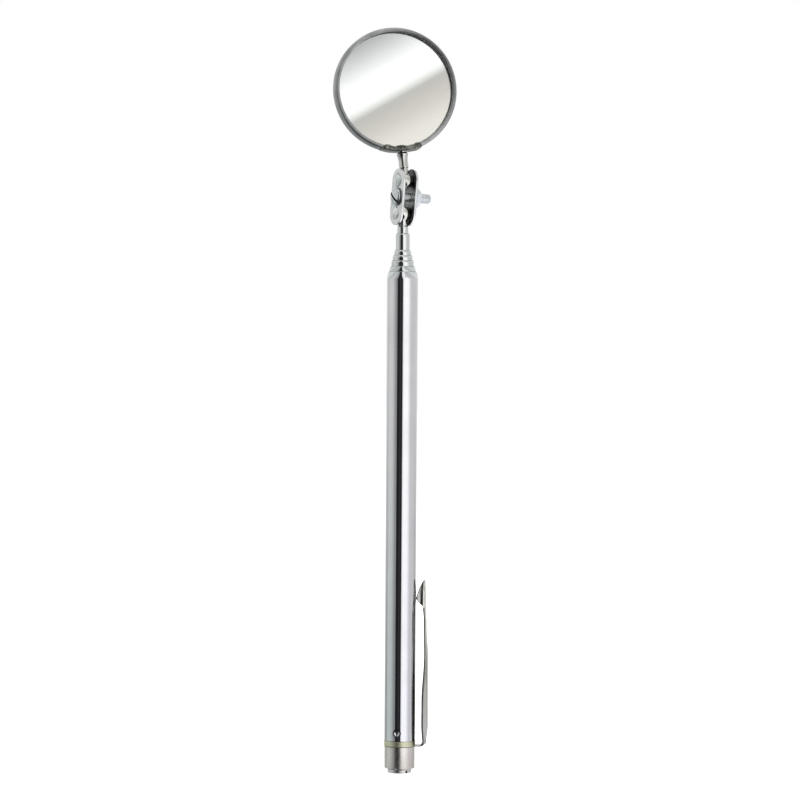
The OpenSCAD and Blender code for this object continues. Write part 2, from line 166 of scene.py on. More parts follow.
def lathe(loop, segments=128, shift=None):
    """Turned body from a loop of (radius, height). shift(angle, r, z) may move each point."""
    rings = []
    for r, z in loop:
        if r < 1e-6:
            rings.append([(0, 0, z)])
            continue
        ring = []
        for k in range(segments):
            angle = TAU * k / segments
            rr, zz = shift(angle, r, z) if shift else (r, z)
            ring.append((rr * math.cos(angle), rr * math.sin(angle), zz))
        rings.append(ring)
    return rings_mesh(rings, closed=True)


def piece(name, shape, body, nodes, slot, place=WORLD, sharp=32):
    """Object made of a shape in millimetres that stands for CAD nodes and rides on a body. A shape is
    verts, faces and, if it has them, the levels of its grime and painted light."""
    verts, faces, *levels = shape
    mesh = bpy.data.meshes.new(name)
    bm = bmesh.new()
    layer = bm.verts.layers.float.new("grime_and_painted_light")
    made = [bm.verts.new([c * MM for c in v]) for v in verts]
    for vertex, level in zip(made, levels[0] if levels else ()):
        vertex[layer] = level
    for face in faces:
        bm.faces.new([made[i] for i in face])
    bmesh.ops.remove_doubles(bm, verts=bm.verts, dist=1e-7)
    bmesh.ops.dissolve_degenerate(bm, edges=bm.edges, dist=1e-8)
    bmesh.ops.recalc_face_normals(bm, faces=bm.faces)
    bm.to_mesh(mesh)
    bm.free()
    mesh.shade_smooth()
    mesh.set_sharp_from_angle(angle=math.radians(sharp))
    mesh.materials.append(mats[slot])
    obj = bpy.data.objects.new(name, mesh)
    bpy.context.scene.collection.objects.link(obj)
    obj.matrix_world = place
    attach(obj, body)
    if nodes:
        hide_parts(*nodes)
    return obj


def grime_and_painted_light(obj, level):
    """Stores level(x, y, z) at each point: 1 is black, for old greasy grime and in many places for painted shade;
    0 clean; -1 light, for metal bared by shearing or grinding and in some places for painted light.
    """
    mesh = obj.data
    layer = mesh.attributes.get("grime_and_painted_light") or mesh.attributes.new("grime_and_painted_light", "FLOAT", "POINT")
    for vertex, item in zip(mesh.vertices, layer.data):
        item.value = min(max(level(*(vertex.co / MM)), -1.0), 1.0)


def cut(obj, shape, sharp=32):
    """Cuts a closed shape, given in the object's own frame, out of the object."""
    mesh = bpy.data.meshes.new("cutter")
    mesh.from_pydata([[c * MM for c in v] for v in shape[0]], [], shape[1])
    bm = bmesh.new()
    bm.from_mesh(mesh)
    bmesh.ops.recalc_face_normals(bm, faces=bm.faces)
    bm.to_mesh(mesh)
    bm.free()
    cutter = bpy.data.objects.new("cutter", mesh)
    bpy.context.scene.collection.objects.link(cutter)
    bpy.context.view_layer.update()
    cutter.matrix_world = obj.matrix_world
    boolean = obj.modifiers.new("cut", "BOOLEAN")
    boolean.operation, boolean.solver, boolean.object = "DIFFERENCE", "EXACT", cutter
    bpy.context.view_layer.update()
    result = bpy.data.meshes.new_from_object(obj.evaluated_get(bpy.context.evaluated_depsgraph_get()))
    obj.modifiers.clear()
    old = obj.data
    obj.data = result
    bpy.data.meshes.remove(old)
    bpy.data.objects.remove(cutter)
    result.shade_smooth()
    result.set_sharp_from_angle(angle=math.radians(sharp))


def moved(shape, place):
    """The shape with place(x, y, z) applied to each of its points."""
    return [place(*v) for v in shape[0]], shape[1]


def turned(shape, angle):
    """The shape turned about z."""
    c, s = math.cos(angle), math.sin(angle)
    return moved(shape, lambda x, y, z: (x * c - y * s, x * s + y * c, z))


def box_shape(low, high):
    """Box as eight points and six faces."""
    (x0, y0, z0), (x1, y1, z1) = low, high
    verts = [(x, y, z) for z in (z0, z1) for y in (y0, y1) for x in (x0, x1)]
    faces = [(0, 2, 3, 1), (4, 5, 7, 6), (0, 1, 5, 4), (2, 6, 7, 3), (0, 4, 6, 2), (1, 3, 7, 5)]
    return verts, faces


def bar_shape(radius, low, high, segments=64):
    """Cylinder along z, closed at both ends."""
    return lathe([(0, low), (radius, low), (radius, high), (0, high)], segments)


def ball_shape(radius, turn, reach, height):
    """Ball whose centre is at the given angle about z, distance from z, and height."""
    angles = [math.pi * (k / 16 - 0.5) for k in range(1, 16)]
    arc = [(radius * math.cos(a), radius * math.sin(a)) for a in angles]
    x0, y0 = reach * math.cos(turn), reach * math.sin(turn)
    return moved(lathe([(0, -radius)] + arc + [(0, radius)], 40),
                 lambda x, y, z: (x + x0, y + y0, z + height))


# ---- Materials ----
class Nodes:
    """The node tree of a material or a world, with one call for each node."""

    def __init__(self, owner):
        owner.use_nodes = True
        self.tree = owner.node_tree
        self.tree.nodes.clear()

    def feed(self, socket, value):
        if isinstance(value, bpy.types.NodeSocket):
            self.tree.links.new(value, socket)
        else:
            socket.default_value = value

    def add(self, kind, inputs=(), **settings):
        node = self.tree.nodes.new("ShaderNode" + kind)
        for key, value in settings.items():
            setattr(node, key, value)
        for key, value in dict(inputs).items():
            self.feed(node.inputs[key], value)
        return node

    def math(self, operation, a, b=0.0):
        return self.add("Math", {0: a, 1: b}, operation=operation).outputs[0]

    def blend(self, factor, a, b, mode="MIX"):
        node = self.add("Mix", data_type="RGBA", blend_type=mode)
        sockets = {s.name: s for s in node.inputs if s.enabled}
        for key, value in (("Factor", factor), ("A", a), ("B", b)):
            self.feed(sockets[key], value)
        return [s for s in node.outputs if s.enabled][0]

    def ramp(self, value, stops):
        """Colour along a value. Each stop is a position with a grey level or a colour."""
        node = self.add("ValToRGB", {"Fac": value})
        elements = node.color_ramp.elements
        while len(elements) < len(stops):
            elements.new(0.5)
        for element, (position, level) in zip(elements, stops):
            element.position = position
            element.color = (*level, 1) if isinstance(level, tuple) else (level, level, level, 1)
        return node.outputs["Color"]


class Surface(Nodes):
    """A material's nodes, and the patterns that its looks are made of."""

    def __init__(self, name):
        self.material = bpy.data.materials.new(name)
        super().__init__(self.material)
        self.coords = self.add("TexCoord").outputs["Object"]

    def mapped(self, scale, turn=(0, 0, 0)):
        """Coordinates in cells. The scale is in cells per metre, one number or one for each axis."""
        scale = scale if isinstance(scale, tuple) else (scale,) * 3
        node = self.add("Mapping", {"Vector": self.coords, "Scale": scale, "Rotation": turn})
        return node.outputs["Vector"]

    def noise(self, scale, detail=3, rough=0.55, turn=(0, 0, 0)):
        return self.add("TexNoise", {"Vector": self.mapped(scale, turn), "Scale": 1, "Detail": detail,
                                     "Roughness": rough}).outputs["Fac"]

    def lines(self, scale, width, turn=(0, 0, 0)):
        """Thin random lines: 1 on a line and 0 off it."""
        cells = self.add("TexVoronoi", {"Vector": self.mapped(scale, turn), "Scale": 1},
                         feature="DISTANCE_TO_EDGE").outputs["Distance"]
        return self.remap(cells, 0, width, 1, 0)

    def remap(self, value, low, high, to_low=0, to_high=1):
        return self.add("MapRange", {"Value": value, "From Min": low, "From Max": high,
                                     "To Min": to_low, "To Max": to_high}).outputs["Result"]

    def bump(self, height, strength, distance, **normal):
        """Bumped normal. The distance is in millimetres."""
        return self.add("Bump", {"Height": height, "Strength": strength, "Distance": distance * MM,
                                 **normal}).outputs["Normal"]

    def total(self, first, *others):
        for other in others:
            first = self.math("ADD", first, other)
        return first

    def finish(self, shader):
        self.add("OutputMaterial", {"Surface": shader})
        return self.material

    def principled(self, inputs):
        return self.finish(self.add("BsdfPrincipled", inputs).outputs["BSDF"])


# Near black, for old greasy grime and, in many places, for painted shade
GREASE_AND_SHADE = (0.018, 0.018, 0.016, 1)
# Near white, for bare sheared metal and, in some places, for painted light
SHEARED_AND_LIT = (0.90, 0.90, 0.89, 1)


def metal(name, bright, dull, rough, rough_worn, grain, grain_depth, tarnish=0.35, smudge_scale=140):
    """Bare or plated metal. grain is cells per metre along x, y and z, so it gives the marks'
    direction; dull is the colour where handling or plating has left it darker."""
    n = Surface(name)
    stain = n.remap(n.noise(smudge_scale), 0.42, 0.68)
    fine = n.noise(grain, rough=0.5)
    marks = n.math("MAXIMUM", n.lines((900, 900, 120), 0.02, turn=(0.3, 0.2, 0)),
                   n.lines((220, 500, 1100), 0.016, turn=(0.5, 1.1, 0.4)))
    # Stored levels above 0 darken towards black, for grime and for painted shade; below 0 they lighten, for bare
    # metal and for painted light
    grime_and_light_level = n.add("Attribute", attribute_name="grime_and_painted_light").outputs["Fac"]
    grease_and_shade = n.math("MAXIMUM", grime_and_light_level, 0.0)
    ground_and_lit = n.math("MAXIMUM", n.math("MULTIPLY", grime_and_light_level, -1), 0.0)
    patchy = n.math("MULTIPLY", grease_and_shade, n.remap(n.noise(700), 0.3, 0.7, 0.8, 1.15))
    colour = n.blend(n.math("MULTIPLY", stain, tarnish), (*bright, 1), (*dull, 1))
    colour = n.blend(n.math("MULTIPLY", marks, 0.09), colour, (*dull, 1))
    colour = n.blend(n.math("MINIMUM", patchy, 1.0), colour, GREASE_AND_SHADE)
    colour = n.blend(n.math("MULTIPLY", ground_and_lit, 0.8), colour, SHEARED_AND_LIT)
    worn = n.total(n.math("MULTIPLY", stain, rough_worn - rough), n.math("MULTIPLY", marks, 0.06),
                   n.remap(fine, 0.3, 0.7, rough - 0.01, rough + 0.02),
                   n.math("MULTIPLY", grease_and_shade, 0.25), n.math("MULTIPLY", ground_and_lit, 0.22))
    normal = n.bump(marks, 0.3, 0.0015, Normal=n.bump(fine, 1.0, grain_depth))
    return n.principled({"Base Color": colour, "Metallic": 1.0, "Roughness": worn, "Normal": normal})


DRAWN = (2600, 2600, 40)        # long marks along z, from drawing the tube through a die
TURNED = (120, 120, 5200)       # rings round z, from a lathe
CAST = (1500, 1500, 1500)

# The bright and the dull colour, the roughness where fresh and where worn, the grain and its depth, and
# where they differ from most how tarnished the metal is and the scale of its smudges
METALS = {
    "chrome_barrel": ((0.80, 0.80, 0.815), (0.66, 0.66, 0.68), 0.03, 0.06, DRAWN, 0.0016),
    "chrome_tube": ((0.76, 0.785, 0.775), (0.58, 0.61, 0.60), 0.035, 0.08, DRAWN, 0.0012),
    "brass_band": ((0.76, 0.755, 0.55), (0.40, 0.40, 0.24), 0.40, 0.5, TURNED, 0.002, 0.7),
    "nickel_cap": ((0.80, 0.76, 0.72), (0.60, 0.57, 0.50), 0.25, 0.32, TURNED, 0.0009, 0.6),
    "end_steel": ((0.86, 0.86, 0.85), (0.62, 0.62, 0.58), 0.26, 0.36, TURNED, 0.001, 0.6),
    "clip_sheet": ((0.70, 0.71, 0.66), (0.52, 0.53, 0.46), 0.08, 0.16, (2200, 2200, 60), 0.0014),
    "bronze_sleeve": ((0.66, 0.44, 0.24), (0.36, 0.22, 0.12), 0.26, 0.4, TURNED, 0.004, 0.7),
    "ball_steel": ((0.80, 0.79, 0.75), (0.50, 0.49, 0.44), 0.07, 0.16, CAST, 0.0012, 0.5),
    "plate_steel": ((0.86, 0.87, 0.87), (0.52, 0.54, 0.54), 0.13, 0.24, CAST, 0.006, 0.7, 500),
    "zinc_screw": ((0.80, 0.82, 0.84), (0.52, 0.55, 0.57), 0.18, 0.30, TURNED, 0.003, 0.6),
    "stem_steel": ((0.70, 0.69, 0.66), (0.42, 0.41, 0.38), 0.09, 0.2, DRAWN, 0.0015, 0.5),
    "frame_steel": ((0.47, 0.47, 0.468), (0.34, 0.34, 0.33), 0.44, 0.52, (900, 900, 2200), 0.001, 0.6, 240),
    "saddle_steel": ((0.25, 0.245, 0.225), (0.06, 0.06, 0.055), 0.24, 0.4, CAST, 0.014, 1.0, 900),
}
mats = {name: metal(name, *row) for name, row in METALS.items()}


def silver_material():
    """Silver film behind the glass: clean, greyed in specks, and with a slight haze in its roughness."""
    n = Surface("silver")
    specks = n.remap(n.noise(2600, detail=2), 0.70, 0.78)
    haze = n.remap(n.noise(90), 0.45, 0.75)
    colour = n.blend(n.math("MULTIPLY", specks, 0.35), (0.95, 0.95, 0.94, 1), (0.42, 0.40, 0.36, 1))
    rough = n.total(n.math("MULTIPLY", haze, 0.012), n.math("MULTIPLY", specks, 0.1))
    return n.principled({"Base Color": colour, "Metallic": 1.0, "Roughness": rough})


def glass_material():
    """Clear float glass with a few dust specks and wiping marks on it."""
    n = Surface("glass")
    dust = n.remap(n.noise(3600, detail=2), 0.74, 0.80)
    wipes = n.lines((160, 420, 160), 0.012, turn=(0.2, 0.1, 0.7))
    smear = n.remap(n.noise((70, 150, 70)), 0.5, 0.75)
    rough = n.total(n.math("MULTIPLY", dust, 0.25), n.math("MULTIPLY", wipes, 0.02),
                    n.math("MULTIPLY", smear, 0.006))
    colour = n.blend(n.math("MULTIPLY", dust, 0.3), (0.985, 0.995, 0.99, 1), (0.75, 0.74, 0.70, 1))
    return n.principled({"Base Color": colour, "Roughness": rough, "IOR": 1.5, "Transmission Weight": 1.0})


def board_material():
    """Dark grey fibre board behind the mirror."""
    n = Surface("pad")
    fibres = n.noise((900, 5200, 900), detail=6, rough=0.7, turn=(0.4, 0.3, 0.8))
    flecks = n.remap(n.noise(1800), 0.6, 0.75, 0, 0.6)
    colour = n.blend(fibres, (0.05, 0.048, 0.045, 1), (0.17, 0.165, 0.155, 1))
    colour = n.blend(flecks, colour, (0.30, 0.28, 0.25, 1))
    return n.principled({"Base Color": colour, "Roughness": n.remap(fibres, 0.3, 0.7, 0.8, 0.95),
                         "Normal": n.bump(fibres, 0.9, 0.03)})


mats["silver"] = silver_material()
mats["glass"] = glass_material()
mats["pad"] = board_material()

slot_of = {s["node"]: s["material_slot"] for s in frame["record"]["subparts"]}
for node_name, node_object in frame["nodes"].items():
    node_object.data.materials.clear()
    node_object.data.materials.append(mats[slot_of[node_name]])


# ---- Barrel, tubes and rod ----
TIP_EDGE, TIP_LAND, LIP_H = 0.07, 0.3, 0.5
ROD_R, GROOVE_R, NECK_R, STEM_R = STAGE_R[6], 1.22, 1.2, 1.2
GROOVE_Z, GROOVE_TOP = 14.9, 22.94      # groove that holds the rod's sleeve
PIN_TOP, BORE_DEPTH = 1.1, 1.2          # pin in the ball's blind bore, from the ball's centre
DIMPLE_TURN = math.radians(-101)        # angle of the dimple about z, from +x
DIMPLE_Z, DIMPLE_R, DIMPLE_DEPTH = 10.4, 1.0, 0.40
DIMPLE_SLIM = 0.94                      # its width over its height


def from_dimple(angle):
    """Distance round the barrel from the dimple's middle."""
    return ((angle - DIMPLE_TURN + math.pi) % TAU - math.pi) * BARREL_R


def dent(angle, z):
    """Depth of the punched dimple at a place on the barrel."""
    d = math.hypot(from_dimple(angle), (z - DIMPLE_Z) * DIMPLE_SLIM) / DIMPLE_R
    return DIMPLE_DEPTH * (1 - d ** 2.6) ** 1.5 if d < 1 else 0.0


def dented(angle, r, z):
    return r - (dent(angle, z) if BARREL_Z < z < BARREL_Z + 5 else 0), z


def nose_curve(r, tip_r, top, length, steps=14):
    """Outer curve of a swaged nose, from the full radius up to its tip."""
    return [(tip_r + (r - tip_r) * math.cos(math.pi / 2 * k / steps), top - length * (1 - k / steps))
            for k in range(steps + 1)]


def stage_loop(i, bottom, lip_r, rows=()):
    """Closed loop of a tube with a rolled lip at its foot and a swaged nose at its tip. Heights in
    rows get points on both faces."""
    r, top = STAGE_R[i], TIP_Z[i]
    guide_r = STAGE_R[i + 1] + FIT
    bore_r = r - STAGE_WALL[i]
    tip_r = guide_r + TIP_EDGE
    foot = [(bore_r, bottom), (lip_r, bottom, 0.06)]
    if lip_r > r:
        foot += [(lip_r, bottom + LIP_H, 0.04), (r, bottom + LIP_H)]
    head = nose_curve(r, tip_r, top, NOSE[i])[:-1] + [
        (tip_r, top - 0.02), (tip_r - 0.02, top), (guide_r + 0.01, top), (guide_r, top - 0.02),
        (guide_r, top - TIP_LAND), (bore_r, top - 0.75 * NOSE[i])]
    return rounded(foot + [(r, z) for z in rows] + head + [(bore_r, z) for z in reversed(rows)])


def tip_dark_line(i):
    """Dark line at the mouth of a tube, where the next one slides out of it."""
    return lambda x, y, z: min(0.7, max(0.0, (z - TIP_Z[i] + 0.13) / 0.1))


def barrel_joint_and_shade(x, y, z):
    """Dark line at the mouth, painted shade in a ring round the dimple's wall, and the dark joint with the band.
    """
    d = math.hypot(from_dimple(math.atan2(y, x)), z - DIMPLE_Z) / DIMPLE_R
    # Painted shade on the dimple's wall and edge
    ring = math.exp(-((d - 0.86) / 0.2) ** 4) if z < 13 else 0.0
    return max(tip_dark_line(0)(x, y, z), (BARREL_Z + 0.03 - z) / 0.03, 0.95 * ring)


dimple_rows = [8.9 + 0.065 * k for k in range(40)]
barrel = piece("barrel_shell", lathe(stage_loop(0, BARREL_Z, BARREL_R, dimple_rows), 288, dented),
               "handle", ["barrel"], "chrome_barrel")
grime_and_painted_light(barrel, barrel_joint_and_shade)
for i in range(1, 6):
    lip_r = STAGE_R[i - 1] - STAGE_WALL[i - 1] - 2 * FIT
    tube = piece(f"tube_{i}_shell", lathe(stage_loop(i, TUBE_Z, lip_r), 160),
                 f"tube_{i}_body", [f"tube_{i}"], "chrome_tube")
    grime_and_painted_light(tube, tip_dark_line(i))

lower_ball_z = lower_ball_m.z / MM
rod_loop = rounded([
    (0, TUBE_Z), (ROD_R, TUBE_Z, 0.12), (ROD_R, GROOVE_Z), (GROOVE_R, GROOVE_Z), (GROOVE_R, GROOVE_TOP),
    (ROD_R, GROOVE_TOP), (ROD_R, lower_ball_z - 3.35, 0.25), (NECK_R, lower_ball_z - 3.15, 0.25),
    (NECK_R, lower_ball_z - BALL_FLAT), (PIN_R, lower_ball_z - BALL_FLAT),
    (PIN_R, lower_ball_z + PIN_TOP, 0.1), (0, lower_ball_z + PIN_TOP)])
piece("rod_bar", lathe(rod_loop, 128), "rod_body", ["rod"], "chrome_tube")


def ball_loop():
    """Ball with a flat and a blind bore facing +z."""
    flat_r = math.sqrt(BALL_R ** 2 - BALL_FLAT ** 2)
    start = math.atan2(BALL_FLAT, flat_r)
    angles = [start - (start + math.pi / 2) * k / 56 for k in range(56)]
    arc = [(BALL_R * math.cos(a), BALL_R * math.sin(a)) for a in angles]
    return [(0, -BORE_DEPTH), (PIN_R + 0.02, -BORE_DEPTH), (PIN_R + 0.02, BALL_FLAT)] + arc + [(0, -BALL_R)]


flip = Matrix.Rotation(math.pi, 4, "X")
piece("rod_ball_bead", lathe(ball_loop(), 112), "rod_body", ["rod_ball"], "ball_steel",
      Matrix.Translation(lower_ball_m) @ flip)
piece("mirror_ball_bead", lathe(ball_loop(), 112), "mirror_pivot", ["mirror_ball"], "ball_steel", STEM)


# ---- End: band, cap and screw ----
SHANK_R, PLUG_R = 1.25, 3.69
CLIP_SEAT_TOP = FLANGE_Z + 0.34     # recess in the band that the clip's ring and foot lie in

plug = piece("end_plug_turned", lathe(rounded([
    (SHANK_R, FLANGE_Z), (BARREL_R, FLANGE_Z, 0.13), (BARREL_R, BARREL_Z, 0.1), (PLUG_R, BARREL_Z),
    (PLUG_R, PLUG_TOP, 0.12), (SHANK_R, PLUG_TOP)]), 160), "handle", ["end_plug"], "brass_band")
cut(plug, bar_shape(3.32, FLANGE_Z - 1, CLIP_SEAT_TOP, 96))
cut(plug, box_shape((0, -1.72, FLANGE_Z - 1), (5, 1.72, CLIP_SEAT_TOP)))
cut(plug, ball_shape(1.4, DIMPLE_TURN, BARREL_R + 0.72, DIMPLE_Z))


def plug_soil(x, y, z):
    """Dark joints below and above the band."""
    above = (z - BARREL_Z + 0.1) / 0.06 if z < BARREL_Z + 0.2 else 0
    return 0.8 * max((FLANGE_Z + 0.13 - z) / 0.08, above, 0)


grime_and_painted_light(plug, plug_soil)

cap = piece("end_cap_turned", lathe(rounded([
    (1.27, CAP_Z), (CAP_R - 0.8, CAP_Z, 0.1), (CAP_R, CAP_Z + 0.33, 0.07), (CAP_R, FLANGE_Z, 0.1),
    (1.27, FLANGE_Z)]), 192), "handle", ["end_cap"], "nickel_cap")
# Stake mark on the chamfer
cut(cap, ball_shape(0.35, math.radians(-90 - 13), 3.72, CAP_Z + 0.2))
grime_and_painted_light(cap, lambda x, y, z: max(0.8 * (z - FLANGE_Z + 0.1) / 0.06, 0))

screw_end = piece("end_screw_turned", lathe(rounded([
    (0, 0), (SCREW_END_R, 0, 0.22), (SCREW_END_R, CAP_Z - 0.09), (SCREW_END_R, CAP_Z), (SHANK_R, CAP_Z),
    (SHANK_R, 13.6, 0.2), (0, 13.6)]), 128), "handle", ["end_screw"], "end_steel")
NOTCH_TURNS = [math.radians(36 - 90 + half_turn) for half_turn in (0, 180)]
for notch_turn in NOTCH_TURNS:
    cut(screw_end, turned(box_shape((2.175, -0.275, -1), (5, 0.275, 0.55)), notch_turn))


def screw_end_shade_and_joint(x, y, z):
    """Painted shade in the two notches, and dark where the head meets the cap."""
    in_notch = any(abs(-x * math.sin(t) + y * math.cos(t)) < 0.3 and x * math.cos(t) + y * math.sin(t) > 2.1
                   for t in NOTCH_TURNS)
    # Painted shade fills the notches
    return 1.0 if in_notch and z < 0.6 else max(0.9 * (z - CAP_Z + 0.07) / 0.05, 0)


grime_and_painted_light(screw_end, screw_end_shade_and_joint)


# ---- Pocket clip ----
CLIP_TOP = 49.6
# Height, x of the side edges, half width, and crown of the blade
BLADE = [(7.6, 5.93, 1.70, 0.76), (12, 5.66, 2.20, 1.42), (18, 5.68, 2.40, 1.36), (30, 6.28, 2.30, 0.75),
         (38, 6.20, 2.30, 0.45), (43.5, 5.90, 1.75, 0.45), (46.5, 5.86, 1.45, 0.50),
         (48.6, 5.95, 1.00, 0.35), (CLIP_TOP, 5.95, 0.62, 0.25)]
# Height, and half width of the inner face's strip painted dark as shade
SHADED = [(8, 1.7), (20, 1.7), (32, 0.9), (49, 0.6)]
# Height, and how far the ears reach towards the barrel: 1 is all the way
EAR = [(42.8, 0.0), (44.7, 1.0), (49.3, 0.08), (CLIP_TOP, 0.0)]
BEND_R, BEND_X, FOOT_HALF_W, FOOT_CROWN = 0.62, 5.95, 1.7, 0.76
FACE_STEPS, EAR_STEPS, BEND_STEPS = 24, 14, 16
ROLL_START, FINE_START = 41.6, 42.4     # heights where the sheet's roll and its close rows start
foot_z = FLANGE_Z + 0.02 + SHEET / 2


def smooth(t):
    return t * t * (3 - 2 * t)


def between(rows, z, ease=smooth):
    """Values of a table at a height, eased between its rows."""
    z = min(max(z, rows[0][0]), rows[-1][0])
    i = max(k for k in range(len(rows) - 1) if rows[k][0] <= z)
    a, b = rows[i], rows[i + 1]
    t = ease((z - a[0]) / (b[0] - a[0]))
    return [a[k] + (b[k] - a[k]) * t for k in range(1, len(a))]


def ear_reach(z):
    return between(EAR, z, lambda t: t)[0]


def clip_rows():
    """Rows of the sheet's middle: x, z, half width, crown."""
    rows = [(x, foot_z, FOOT_HALF_W, 0.0) for x in (3.0, 3.05, 3.6, 4.3, 4.8)]
    base = foot_z + BEND_R
    for k in range(BEND_STEPS + 1):
        a = math.radians(-90 + 90 / BEND_STEPS * k)
        rows.append((BEND_X - BEND_R + BEND_R * math.cos(a), base + BEND_R * math.sin(a), FOOT_HALF_W,
                     FOOT_CROWN * (k / BEND_STEPS) ** 2))
    heights = [base + 0.35 * k for k in range(1, int((FINE_START - base) / 0.35))]
    heights += [FINE_START + (CLIP_TOP - 0.02 - FINE_START) * k / 64 for k in range(65)]
    return rows + [(between(BLADE, z)[0], z, *between(BLADE, z)[1:]) for z in heights]


def half_section(x, z, half_w, crown):
    """Outer face from the blade's middle to its edge: out, sideways, and the face's direction there.
    Low down the blade has a pressed crown. The tip is rolled over its sides, and ends in two ears."""
    roll = smooth(min(max((z - ROLL_START) / 1.4, 0), 1))
    r = min(0.75, 0.6 * half_w)
    top = crown + SHEET / 2
    flat_w = half_w - r
    points = []
    for j in range(FACE_STEPS + 1):
        u = j / FACE_STEPS
        slope = -4 * crown * u * (1 - u * u) / half_w
        pressed = (crown * (1 - u * u) ** 2 + SHEET / 2, half_w * u, 1, -slope)
        along = u * (flat_w + r * math.pi / 2)
        turn = max(along - flat_w, 0) / r
        rolled = (top - r + r * math.cos(turn), flat_w + r * math.sin(turn), math.cos(turn), math.sin(turn))
        if along <= flat_w:
            rolled = (top, along, 1, 0.0)
        points.append([a + (b - a) * roll for a, b in zip(pressed, rolled)])
    reach = ear_reach(z)
    out, side = points[-1][:2]
    # Each ear follows a curve from the edge, with one pulling point, to the barrel's face
    curves = ((out, out - 0.85 * min(1.0, half_w), BARREL_R + 0.04 - x), (side, side, 0.44))
    for j in range(1, EAR_STEPS + 1):
        t = reach * j / EAR_STEPS
        p = [(1 - t) ** 2 * q + 2 * t * (1 - t) * c + t * t * e for q, c, e in curves]
        d = [2 * (1 - t) * (c - q) + 2 * t * (e - c) for q, c, e in curves]
        points.append([*p, -d[1], -d[0]] if roll > 0.99 else [*p, *points[FACE_STEPS][2:]])
    return points


def clip_mesh():
    """Closed skin of the clip's sheet. Its sheared edges and its inner face, which faces the barrel, are painted
    dark as shade, and its tip's ears have a painted dark crease with painted highlights inside it.
    """
    rows = clip_rows()
    rings, levels = [], []
    for i, (x, z, half_w, crown) in enumerate(rows):
        before, after = rows[max(i - 1, 0)], rows[min(i + 1, len(rows) - 1)]
        d = Vector((after[0] - before[0], after[1] - before[1])).normalized()
        nx, nz = d.y, -d.x
        half = half_section(x, z, half_w, crown)
        path = [(h, side * w, nh, side * nw)
                for side, part in ((-1, half[:0:-1]), (1, half)) for h, w, nh, nw in part]
        last = len(path) - 1
        skins = []
        for part in (0.0, 0.1, 0.9, 1.0):
            skin = []
            for k, (h, w, nh, nw) in enumerate(path):
                size = math.hypot(nh, nw)
                thin = max(0, abs(k - last / 2) - FACE_STEPS) / EAR_STEPS * ear_reach(z)
                depth = part * SHEET * (1 - 0.6 * thin)
                inset = 0.03 if part in (0.0, 1.0) and k in (0, last) else 0.0
                h2, w2 = h - nh / size * depth, w - nw / size * depth
                skin.append((x + nx * h2, w2 - math.copysign(inset, w), z + nz * h2))
            skins.append(skin)
        outer, rim_out, rim_in, inner = skins
        rings.append(outer + [rim_out[-1], rim_in[-1]] + inner[::-1] + [rim_in[0], rim_out[0]])
        at_foot = x < 5.45 and z < 7.6
        # Strength of the painted shade on the sheet's edges and inner face
        painted_shade = 0.1 if at_foot else 0.6 if z > 43 else 0.95
        # Points in from each side edge that are painted dark as shade
        edge = 18 if z < 42 and not at_foot else 0
        # x of the painted dark crease on the tip's ears, which have painted highlights inside it
        crease = 5.28 + 0.075 * (z - 43.5)
        face = [0.0] * len(outer)
        if z > 43.2:
            face = [0.95 if abs(v[0] - crease) < 0.2 else -0.6 if v[0] < crease else 0.0 for v in outer]
        levels += [painted_shade] * edge + face[edge:len(outer) - edge] + [painted_shade] * (edge + 2)
        dark_w = between(SHADED, z)[0]
        # Painted shade on the inner face, fainter beyond its dark middle
        levels += [painted_shade if abs(v[1]) < dark_w else 0.2 for v in inner[::-1]] + [painted_shade] * 2
    verts, faces = rings_mesh(rings, closed=False)
    n = len(rings[0])
    m = len(path)
    # Both ends of the skin are closed by quads between its outer and inner faces
    pairs = [(k, k + 1, n - 4 - k, n - 3 - k) for k in range(m - 1)]
    pairs += [(m - 1, m, m + 1, m + 2), (0, n - 3, n - 2, n - 1)]
    faces += pairs + [tuple(len(verts) - n + v for v in quad[::-1]) for quad in pairs]
    return verts, faces, levels


piece("pocket_clip_sheet", clip_mesh(), "handle", ["pocket_clip"], "clip_sheet", sharp=50)
RING_R, RING_Z, RING_TOP = 3.3, 6.82, 7.12      # end ring of the sheet, between the band and the cap
ring_loop = rounded([(1.27, RING_Z), (RING_R, RING_Z, 0.04), (RING_R, RING_TOP, 0.04), (1.27, RING_TOP)])
piece("pocket_clip_ring", lathe(ring_loop, 96), "handle", [], "clip_sheet")


# ---- Clamp ----
CREASE_R = 1.68     # crease round each dome
PLATE_OUT = HALF_GAP + PLATE_T


def smooth_max(a, b, k):
    h = max(k - abs(a - b), 0) / k
    return max(a, b) + h * h * k / 4


def plate_height(u, v, outside):
    """Height of a clamp plate's outer or inner face over the clamp's middle plane."""
    d = min(math.hypot(u, v), math.hypot(u, v - PITCH))
    if outside:
        ball = math.sqrt(max((BALL_R + FIT + PLATE_T) ** 2 - d * d, 0))
        return smooth_max(PLATE_OUT, ball, 0.1) - 0.07 * math.exp(-((d - CREASE_R) / 0.13) ** 2)
    ball = math.sqrt(max((BALL_R + FIT) ** 2 - d * d, 0))
    return smooth_max(HALF_GAP, ball, 0.02)


